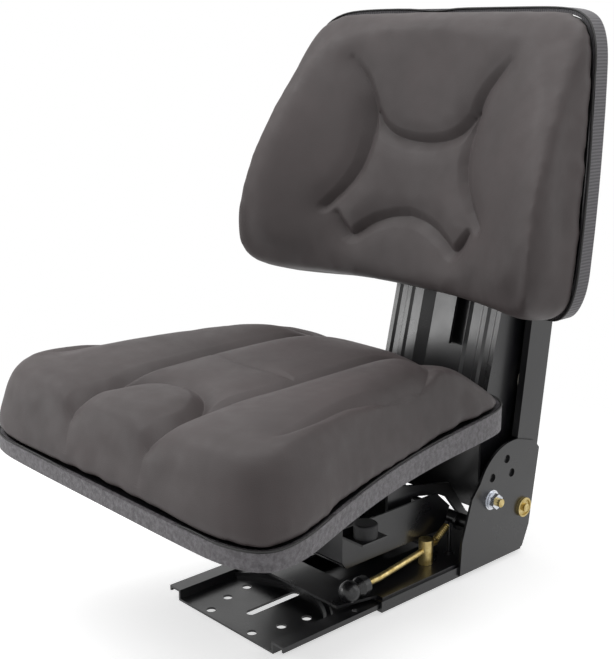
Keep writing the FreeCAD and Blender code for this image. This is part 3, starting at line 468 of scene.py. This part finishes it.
def rimOf(cushion):
    # the band's outer rim on the cushion's side: a ring of points and their outward directions
    axis, sign = cushion["faceAxis"], cushion["faceSign"]
    other = 3 - axis  # the band lies in x and this axis
    mesh = bmesh.new()
    mesh.from_mesh(nodes[cushion["band"]].data)
    bmesh.ops.remove_doubles(mesh, verts=mesh.verts, dist=mergeGap)
    middle = sum((v.co for v in mesh.verts), Vector()) / len(mesh.verts)
    sectors = bandRim["sectors"]
    rim = [[] for sector in range(sectors)]
    for v in mesh.verts:
        spot = v.co - middle
        turn = (math.atan2(spot[other], spot[0]) % (2 * math.pi)) / (2 * math.pi)
        away = math.hypot(spot[0], spot[other])
        rim[int(turn * sectors) % sectors].append((away, sign * v.co[axis], tuple(v.co)))
    mesh.free()
    path = []
    for spots in rim:
        if spots:
            least = max(s[0] for s in spots) - bandRim["depth"]
            path.append(max((s for s in spots if s[0] > least), key=lambda s: s[1])[2])
    ring = np.array(path)
    for turn in range(bandRim["evenTurns"]):  # evens out the steps between neighbours
        ring = ring * 0.5 + np.roll(ring, 1, axis=0) * 0.25 + np.roll(ring, -1, axis=0) * 0.25
    outward = ring - ring.mean(axis=0)
    outward[:, axis] = 0
    outward /= np.linalg.norm(outward, axis=1, keepdims=True)
    return ring, outward


def relax(pad, turns):
    smooth = pad.modifiers.new("relax", "SMOOTH")
    smooth.iterations = turns
    smooth.factor = foam["smoothFactor"]


def padFromNode(name, cushion):
    # a copy of the solid, remeshed evenly and relaxed
    pad = bpy.data.objects.new(name, nodes[cushion["node"]].data.copy())
    bpy.context.scene.collection.objects.link(pad)
    pickOnly(pad)
    bpy.ops.object.mode_set(mode="EDIT")
    bpy.ops.mesh.select_all(action="SELECT")
    bpy.ops.mesh.remove_doubles(threshold=mergeGap)
    bpy.ops.mesh.normals_make_consistent(inside=False)
    bpy.ops.object.mode_set(mode="OBJECT")
    remesh = pad.modifiers.new("evenMesh", "REMESH")
    remesh.mode = "VOXEL"
    remesh.voxel_size = foam["voxelMm"] * mm
    relax(pad, foam["smoothTurns"])
    applyAll(pad)
    return pad


def nearRim(points, ring, outward):
    # each point's distance to the rim in metres, with the rim's outward direction there
    tree = KDTree(len(ring))
    for i, spot in enumerate(ring):
        tree.insert(spot, i)
    tree.balance()
    found = [tree.find(p) for p in points]
    return np.array([f[2] for f in found]), outward[[f[1] for f in found]]


def swell(pad, cushion, ring, outward):
    # drawn in a little, then the foam presses its skin outwards: no point moves more than the
    # cap, and the skin stays held down where it is stapled behind the band
    axis = cushion["faceAxis"]
    points = readPoints(pad)
    away, side = nearRim(points, ring, outward)
    proud = foam["proudMm"] * mm * np.exp(-(away / (foam["proudReachMm"] * mm)) ** 2)
    tuck = foam["tuckMm"] * mm * np.exp(-(away / (foam["tuckReachMm"] * mm)) ** 2)
    points += side * proud[:, None]
    points[:, axis] -= cushion["faceSign"] * tuck
    writePoints(pad, points)
    writePoints(pad, points - readNormals(pad) * foam["startInsetMm"] * mm)
    start = readPoints(pad)
    cloth = pad.modifiers.new("foamPressure", "CLOTH")
    cloth.settings.use_pressure = True
    cloth.settings.uniform_pressure_force = foam["pressure"]
    cloth.settings.effector_weights.gravity = 0.0
    cloth.settings.quality = foam["clothQuality"]
    cloth.collision_settings.use_collision = False
    cloth.point_cache.frame_start = 1
    cloth.point_cache.frame_end = foam["pressSteps"]
    for step in range(1, foam["pressSteps"] + 1):
        bpy.context.scene.frame_set(step)
    pickOnly(pad)
    bpy.ops.object.modifier_apply(modifier=cloth.name)
    bpy.context.scene.frame_set(1)
    move = readPoints(pad) - start
    length = np.linalg.norm(move, axis=1, keepdims=True)
    cap = foam["capMm"] * mm
    swollen = start + move * np.minimum(1.0, cap / np.maximum(length, 1e-9))
    free = np.clip(away / (foam["heldMm"] * mm), 0, 1)
    free = (free * free * (3 - 2 * free))[:, None]
    writePoints(pad, points + (swollen - points) * free)
    relax(pad, foam["calmTurns"])
    applyAll(pad)


def refine(pad):
    divide = pad.modifiers.new("finer", "SUBSURF")
    divide.levels = 1
    divide.render_levels = 1
    applyAll(pad)


def roundedPath(path):
    # corners cut twice, so a crease runs in a curve
    for turn in range(2):
        finer = [path[0]]
        for a, b in zip(path, path[1:]):
            finer.append(tuple(p * 0.75 + q * 0.25 for p, q in zip(a, b)))
            finer.append(tuple(p * 0.25 + q * 0.75 for p, q in zip(a, b)))
        finer.append(path[-1])
        path = finer
    return path


def creaseAt(a, b, path):
    # distance in mm from points (a, b) to a crease, and its depth and half width there
    best = np.full(a.shape, 1e9)
    deep = np.zeros(a.shape)
    wide = np.ones(a.shape)
    path = roundedPath(path)
    for (ax, ay, da, wa), (bx, by, db, wb) in zip(path, path[1:]):
        dx, dy = bx - ax, by - ay
        t = np.clip(((a - ax) * dx + (b - ay) * dy) / (dx * dx + dy * dy), 0, 1)
        d = np.hypot(a - ax - t * dx, b - ay - t * dy)
        nearer = d < best
        best = np.where(nearer, d, best)
        deep = np.where(nearer, da + (db - da) * t, deep)
        wide = np.where(nearer, wa + (wb - wa) * t, wide)
    return best, deep, wide


# a V with a tight floor and a faint edge where its walls end, in a shallow wide hollow
creaseShape = {"tight": 0.8, "tightPower": 1.6, "straight": 0.2, "hollow": 0.22, "hollowReach": 2.2}


def creaseDepth(points, cushion):
    # depth in mm at each point, and its distance in mm to the closest crease
    a = abs(points[:, 0]) / mm
    b = points[:, 3 - cushion["faceAxis"]] / mm
    depth = np.zeros(a.shape)
    closest = np.full(a.shape, 1e9)
    for path in cushion["creases"]:
        d, deep, wide = creaseAt(a, b, path)
        wall = np.clip(1 - d / wide, 0, 1)
        valley = deep * (creaseShape["tight"] * wall ** creaseShape["tightPower"]
                         + creaseShape["straight"] * wall)
        hollow = np.exp(-(d / (wide * creaseShape["hollowReach"])) ** 2)
        depth = np.maximum(depth, valley + creaseShape["hollow"] * deep * hollow)
        closest = np.minimum(closest, d)
    return depth, closest


def facingOf(pad, cushion):
    # 1 where the skin looks straight out of the cushion's face
    return readNormals(pad)[:, cushion["faceAxis"]] * cushion["faceSign"]


def divideNear(pad, cushion, reachMm):
    # finer faces only along the creases
    closest = creaseDepth(readPoints(pad), cushion)[1]
    near = (closest < reachMm) & (facingOf(pad, cushion) > foam["faceLeast"])
    mesh = bmesh.new()
    mesh.from_mesh(pad.data)
    edges = [e for e in mesh.edges if near[e.verts[0].index] and near[e.verts[1].index]]
    bmesh.ops.subdivide_edges(mesh, edges=edges, cuts=1, use_grid_fill=True)
    mesh.to_mesh(pad.data)
    mesh.free()
    pad.data.update()


def makePad(name, cushion):
    ring, outward = rimOf(cushion)
    pad = padFromNode(name, cushion)
    swell(pad, cushion, ring, outward)
    refine(pad)
    divideNear(pad, cushion, cushion["nearReachMm"])
    divideNear(pad, cushion, foam["fineReachMm"])
    points = readPoints(pad)
    depth = creaseDepth(points, cushion)[0]
    fade = foam["faceFull"] - foam["faceLeast"]
    depth *= np.clip((facingOf(pad, cushion) - foam["faceLeast"]) / fade, 0, 1)
    points[:, cushion["faceAxis"]] -= cushion["faceSign"] * depth * mm
    writePoints(pad, points)
    pad.data.materials.clear()
    pad.data.materials.append(vinyl)
    smoothByAngle(pad, 60)
    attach(pad, "carriage")
    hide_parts(cushion["node"])
    print(name, "swelled and creased:", len(pad.data.polygons), "faces")


makePad("seatPad", seatCushion)
makePad("backPad", backCushion)

# black welts where the cushions meet their bands
welt = {"radiusMm": 1.3, "sides": 8, "inMm": 0.2, "liftMm": 0.6}
weltVinyl = plasticMaterial("blackVinylWelt", "#0c0b0b", "#131212", 0.6, 0.9, 0.2)


def weltOver(name, cushion):
    # a thin round cord that follows the band's rim
    ring, outward = rimOf(cushion)
    lift = np.zeros(3)
    lift[cushion["faceAxis"]] = cushion["faceSign"]
    core = ring - outward * welt["inMm"] * mm + lift * welt["liftMm"] * mm
    cord = bmesh.new()
    loops = []
    for i in range(len(core)):
        loop = []
        for k in range(welt["sides"]):
            a = 2 * math.pi * k / welt["sides"]
            spoke = outward[i] * math.cos(a) + lift * math.sin(a)
            loop.append(cord.verts.new(core[i] + spoke * welt["radiusMm"] * mm))
        loops.append(loop)
    for i in range(len(loops)):
        here, there = loops[i], loops[(i + 1) % len(loops)]
        for k in range(welt["sides"]):
            n = (k + 1) % welt["sides"]
            cord.faces.new((here[k], here[n], there[n], there[k]))
    bmesh.ops.recalc_face_normals(cord, faces=cord.faces)
    data = bpy.data.meshes.new(name)
    cord.to_mesh(data)
    cord.free()
    piece = bpy.data.objects.new(name, data)
    bpy.context.scene.collection.objects.link(piece)
    data.materials.append(weltVinyl)
    smoothByAngle(piece, 60)
    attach(piece, "carriage")
    longMm = np.linalg.norm(core - np.roll(core, 1, axis=0), axis=1).sum() / mm
    print(name, "laid round the band,", round(longMm), "mm long")


weltOver("seatWelt", seatCushion)
weltOver("backWelt", backCushion)

# main springs: close-wound coils between the carriage's beam and the yoke
mainSpring = {"coilMm": 10.2, "wireMm": 1.8, "wireSides": 8, "turns": 30, "stepsPerTurn": 20,
              "leanDeg": 7.0, "endGap": 0.004}


def woundSpring(name, nodeName):
    low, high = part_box(nodeName)
    lean = math.radians(mainSpring["leanDeg"])
    length = (high[2] - low[2]) / math.cos(lean) - mainSpring["endGap"]
    deselectAll()
    bpy.ops.mesh.primitive_circle_add(
        vertices=mainSpring["wireSides"], radius=mainSpring["wireMm"] * mm,
        location=(0, 0, 0), rotation=(math.pi / 2, 0, 0))
    coil = bpy.context.object
    coil.name = name
    bpy.ops.object.transform_apply(location=True, rotation=True, scale=True)
    points = readPoints(coil)
    points[:, 0] += mainSpring["coilMm"] * mm
    writePoints(coil, points)
    wind = coil.modifiers.new("wind", "SCREW")
    wind.axis = "Z"
    wind.angle = 2 * math.pi
    wind.iterations = mainSpring["turns"]
    wind.screw_offset = length / mainSpring["turns"]
    wind.steps = mainSpring["stepsPerTurn"]
    wind.render_steps = mainSpring["stepsPerTurn"]
    applyAll(coil)
    bpy.ops.object.mode_set(mode="EDIT")
    bpy.ops.mesh.select_all(action="SELECT")
    bpy.ops.mesh.remove_doubles(threshold=0.00001)
    bpy.ops.mesh.select_all(action="DESELECT")
    bpy.ops.mesh.select_mode(type="EDGE")
    bpy.ops.mesh.select_non_manifold()
    bpy.ops.mesh.fill_holes(sides=0)
    bpy.ops.mesh.select_all(action="SELECT")
    bpy.ops.mesh.normals_make_consistent(inside=False)
    bpy.ops.object.mode_set(mode="OBJECT")
    # leans back with the column, then goes to its place
    points = readPoints(coil)
    points[:, 2] -= length / 2
    turned = points.copy()
    turned[:, 1] = points[:, 1] * math.cos(lean) + points[:, 2] * math.sin(lean)
    turned[:, 2] = points[:, 2] * math.cos(lean) - points[:, 1] * math.sin(lean)
    middle = (np.array(low) + np.array(high)) / 2
    writePoints(coil, turned + middle)
    coil.data.materials.append(springSteel)
    smoothByAngle(coil, 60)
    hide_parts(nodeName)
    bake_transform(coil)
    print(name, "wound")


woundSpring("leftSpringCoil", "left_main_spring")
woundSpring("rightSpringCoil", "right_main_spring")

for node in nodes.values():
    if not node.hide_render:
        smoothByAngle(node, 35)
deselectAll()
